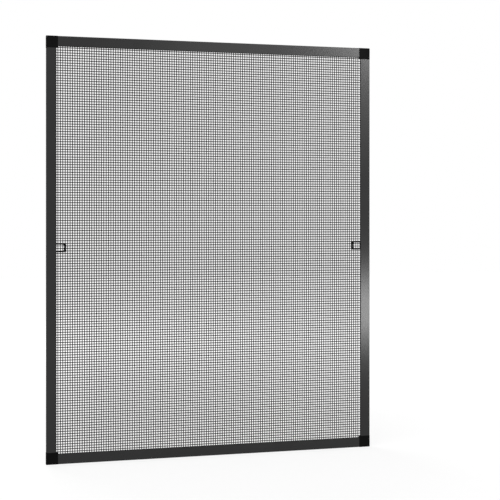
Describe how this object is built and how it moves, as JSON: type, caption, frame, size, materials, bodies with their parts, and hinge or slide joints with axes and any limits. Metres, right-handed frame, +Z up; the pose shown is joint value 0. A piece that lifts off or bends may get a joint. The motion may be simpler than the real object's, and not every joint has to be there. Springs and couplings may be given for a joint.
{
  "type": "window screen frame",
  "caption": "Flat rectangular insect screen for a window: slim hollow profile frame, square plastic corners, woven mesh held by a rubber spline, small pull tabs.",
  "frame": {"origin": "middle of the bottom edge, halfway through the frame's depth", "axes": "+X to the right seen from the flat front face, +Z up, -Y out of the flat front face; the groove, spline and pull tabs are on the +Y side"},
  "size_m": [0.8, 0.009, 1],
  "materials": {
    "profile": "satin anthracite powder coat",
    "corner": "fine-grained moulded black",
    "cloth": "coated glass-fibre thread, plain weave",
    "spline": "matt ribbed cord",
    "pull_tab": "moulded black"
  },
  "bodies": {
    "root": {"left_stile": "profile", "right_stile": "profile", "top_rail": "profile", "bottom_rail": "profile", "corner_top_left": "corner", "corner_top_right": "corner", "corner_bottom_left": "corner", "corner_bottom_right": "corner", "screen_cloth": "cloth", "spline_left": "spline", "spline_right": "spline", "spline_top": "spline", "spline_bottom": "spline", "pull_tab_left": "pull_tab", "pull_tab_right": "pull_tab"}
  },
  "joints": []
}
